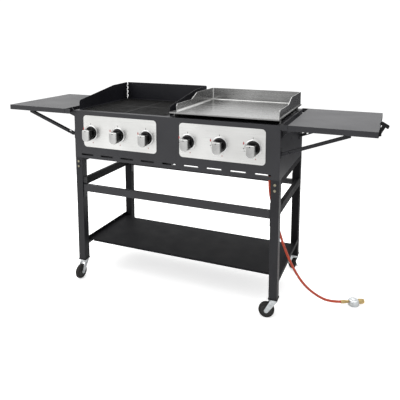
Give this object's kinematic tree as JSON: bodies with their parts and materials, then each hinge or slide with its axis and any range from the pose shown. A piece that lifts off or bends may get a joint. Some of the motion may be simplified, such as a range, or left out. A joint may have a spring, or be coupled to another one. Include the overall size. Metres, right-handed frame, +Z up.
{
  "type": "gas grill and griddle",
  "caption": "Wide outdoor gas grill on a caster cart: open grates with a windshield beside a flat walled griddle, knobs in front, fold-down side shelves and a bottom shelf.",
  "frame": {"origin": "on the floor under the middle of the body", "axes": "+X to the right seen from the front, +Y to the rear, +Z up; the knobs face -Y"},
  "size_m": [1.9525, 0.6113, 1.021],
  "materials": {
    "black_paint": "fine textured powder coat",
    "stainless": "brushed sideways",
    "galvanised": "galvanised sheet",
    "griddle_steel": "bare, polished by grinding",
    "cast_iron": "matt, as cast",
    "brass": "passivated yellow",
    "pipe_steel": "painted pipe",
    "knob_plastic": "black with a bright face",
    "zinc": "zinc plated pressings",
    "wheel_rubber": "matt dark grey",
    "hose_rubber": "orange, smooth"
  },
  "bodies": {
    "cart": {"front_left_leg": "black_paint", "front_right_leg": "black_paint", "rear_left_leg": "black_paint", "rear_right_leg": "black_paint", "side_rails": "black_paint", "cross_rails": "black_paint", "bottom_shelf": "black_paint", "frame_bolts": "brass", "front_panel": "black_paint", "left_side_panel": "black_paint", "right_side_panel": "black_paint", "rear_panel": "black_paint", "divider": "black_paint", "left_control_panel": "stainless", "right_control_panel": "stainless", "knob_bezels": "stainless", "gas_valves": "brass", "gas_manifold": "pipe_steel", "grill_burners": "stainless", "griddle_burners": "stainless", "flame_tamers": "stainless", "inner_rails": "galvanised", "windshield_left": "black_paint", "windshield_rear": "black_paint", "windshield_right": "black_paint", "tray_runners": "galvanised", "caster_plates": "black_paint", "shelf_brackets": "black_paint", "gas_hose": "hose_rubber", "regulator": "brass"},
    "knob_1": {"knob_1": "knob_plastic"},
    "knob_2": {"knob_2": "knob_plastic"},
    "knob_3": {"knob_3": "knob_plastic"},
    "knob_4": {"knob_4": "knob_plastic"},
    "knob_5": {"knob_5": "knob_plastic"},
    "knob_6": {"knob_6": "knob_plastic"},
    "front_left_fork": {"front_left_fork": "zinc"},
    "front_left_wheel": {"front_left_wheel": "wheel_rubber"},
    "front_left_brake": {"front_left_brake": "zinc"},
    "front_right_fork": {"front_right_fork": "zinc"},
    "front_right_wheel": {"front_right_wheel": "wheel_rubber"},
    "front_right_brake": {"front_right_brake": "zinc"},
    "rear_left_fork": {"rear_left_fork": "zinc"},
    "rear_left_wheel": {"rear_left_wheel": "wheel_rubber"},
    "rear_left_brake": {"rear_left_brake": "zinc"},
    "rear_right_fork": {"rear_right_fork": "zinc"},
    "rear_right_wheel": {"rear_right_wheel": "wheel_rubber"},
    "rear_right_brake": {"rear_right_brake": "zinc"},
    "left_shelf": {"left_shelf": "black_paint"},
    "left_struts": {"left_struts": "black_paint"},
    "right_shelf": {"right_shelf": "black_paint", "utensil_hook": "black_paint"},
    "right_struts": {"right_struts": "black_paint"},
    "left_grate": {"left_grate": "cast_iron"},
    "right_grate": {"right_grate": "cast_iron"},
    "griddle": {"griddle": "griddle_steel", "griddle_feet": "griddle_steel"},
    "grill_drip_tray": {"grill_drip_tray": "galvanised"},
    "griddle_drip_tray": {"griddle_drip_tray": "galvanised"}
  },
  "joints": [
    {"name": "knob_1_turn", "type": "hinge", "parent": "cart", "child": "knob_1", "pos_m": [-0.448, -0.265, 0.808], "axis": [0, -1, 0], "range_deg": [0, 180]},
    {"name": "knob_2_turn", "type": "hinge", "parent": "cart", "child": "knob_2", "pos_m": [-0.286, -0.265, 0.808], "axis": [0, -1, 0], "range_deg": [0, 180]},
    {"name": "knob_3_turn", "type": "hinge", "parent": "cart", "child": "knob_3", "pos_m": [-0.124, -0.265, 0.808], "axis": [0, -1, 0], "range_deg": [0, 180]},
    {"name": "knob_4_turn", "type": "hinge", "parent": "cart", "child": "knob_4", "pos_m": [0.102, -0.265, 0.808], "axis": [0, -1, 0], "range_deg": [0, 180]},
    {"name": "knob_5_turn", "type": "hinge", "parent": "cart", "child": "knob_5", "pos_m": [0.264, -0.265, 0.808], "axis": [0, -1, 0], "range_deg": [0, 180]},
    {"name": "knob_6_turn", "type": "hinge", "parent": "cart", "child": "knob_6", "pos_m": [0.426, -0.265, 0.808], "axis": [0, -1, 0], "range_deg": [0, 180]},
    {"name": "front_left_swivel", "type": "hinge", "parent": "cart", "child": "front_left_fork", "pos_m": [-0.53, -0.24, 0.09], "axis": [0, 0, 1], "continuous": true},
    {"name": "front_left_roll", "type": "hinge", "parent": "front_left_fork", "child": "front_left_wheel", "pos_m": [-0.53, -0.272, 0.0375], "axis": [-1, 0, 0], "continuous": true},
    {"name": "front_left_brake_press", "type": "hinge", "parent": "front_left_fork", "child": "front_left_brake", "pos_m": [-0.53, -0.272, 0.0375], "axis": [-1, 0, 0], "range_deg": [0, 18]},
    {"name": "front_right_swivel", "type": "hinge", "parent": "cart", "child": "front_right_fork", "pos_m": [0.53, -0.24, 0.09], "axis": [0, 0, 1], "continuous": true},
    {"name": "front_right_roll", "type": "hinge", "parent": "front_right_fork", "child": "front_right_wheel", "pos_m": [0.49849, -0.24556, 0.0375], "axis": [-0.1736, 0.9848, 0], "continuous": true},
    {"name": "front_right_brake_press", "type": "hinge", "parent": "front_right_fork", "child": "front_right_brake", "pos_m": [0.49849, -0.24556, 0.0375], "axis": [-0.1736, 0.9848, 0], "range_deg": [0, 18]},
    {"name": "rear_left_swivel", "type": "hinge", "parent": "cart", "child": "rear_left_fork", "pos_m": [-0.53, 0.24, 0.09], "axis": [0, 0, 1], "continuous": true},
    {"name": "rear_left_roll", "type": "hinge", "parent": "rear_left_fork", "child": "rear_left_wheel", "pos_m": [-0.54835, 0.26621, 0.0375], "axis": [0.8192, 0.5736, 0], "continuous": true},
    {"name": "rear_left_brake_press", "type": "hinge", "parent": "rear_left_fork", "child": "rear_left_brake", "pos_m": [-0.54835, 0.26621, 0.0375], "axis": [0.8192, 0.5736, 0], "range_deg": [0, 18]},
    {"name": "rear_right_swivel", "type": "hinge", "parent": "cart", "child": "rear_right_fork", "pos_m": [0.53, 0.24, 0.09], "axis": [0, 0, 1], "continuous": true},
    {"name": "rear_right_roll", "type": "hinge", "parent": "rear_right_fork", "child": "rear_right_wheel", "pos_m": [0.51074, 0.26556, 0.0375], "axis": [0.7986, 0.6018, 0], "continuous": true},
    {"name": "rear_right_brake_press", "type": "hinge", "parent": "rear_right_fork", "child": "rear_right_brake", "pos_m": [0.51074, 0.26556, 0.0375], "axis": [0.7986, 0.6018, 0], "range_deg": [0, 18]},
    {"name": "left_shelf_fold", "type": "hinge", "parent": "cart", "child": "left_shelf", "pos_m": [-0.563, 0, 0.888], "axis": [0, -1, 0], "range_deg": [0, 90]},
    {"name": "left_strut_swing", "type": "hinge", "parent": "cart", "child": "left_struts", "pos_m": [-0.564, 0, 0.793], "axis": [0, -1, 0], "range_deg": [0, 111]},
    {"name": "right_shelf_fold", "type": "hinge", "parent": "cart", "child": "right_shelf", "pos_m": [0.563, 0, 0.888], "axis": [0, 1, 0], "range_deg": [0, 90]},
    {"name": "right_strut_swing", "type": "hinge", "parent": "cart", "child": "right_struts", "pos_m": [0.564, 0, 0.793], "axis": [0, 1, 0], "range_deg": [0, 111]},
    {"name": "left_grate_lift", "type": "slide", "parent": "cart", "child": "left_grate", "axis": [0, 0, 1], "range_m": [0, 0.15]},
    {"name": "right_grate_lift", "type": "slide", "parent": "cart", "child": "right_grate", "axis": [0, 0, 1], "range_m": [0, 0.15]},
    {"name": "griddle_lift", "type": "slide", "parent": "cart", "child": "griddle", "axis": [0, 0, 1], "range_m": [0, 0.15]},
    {"name": "grill_drip_tray_slide", "type": "slide", "parent": "cart", "child": "grill_drip_tray", "axis": [0, 1, 0], "range_m": [0, 0.4]},
    {"name": "griddle_drip_tray_slide", "type": "slide", "parent": "cart", "child": "griddle_drip_tray", "axis": [0, 1, 0], "range_m": [0, 0.4]}
  ],
  "couplings": [
    {"joint": "left_strut_swing", "follows": "left_shelf_fold", "ratio": 1.225},
    {"joint": "right_strut_swing", "follows": "right_shelf_fold", "ratio": 1.225}
  ]
}
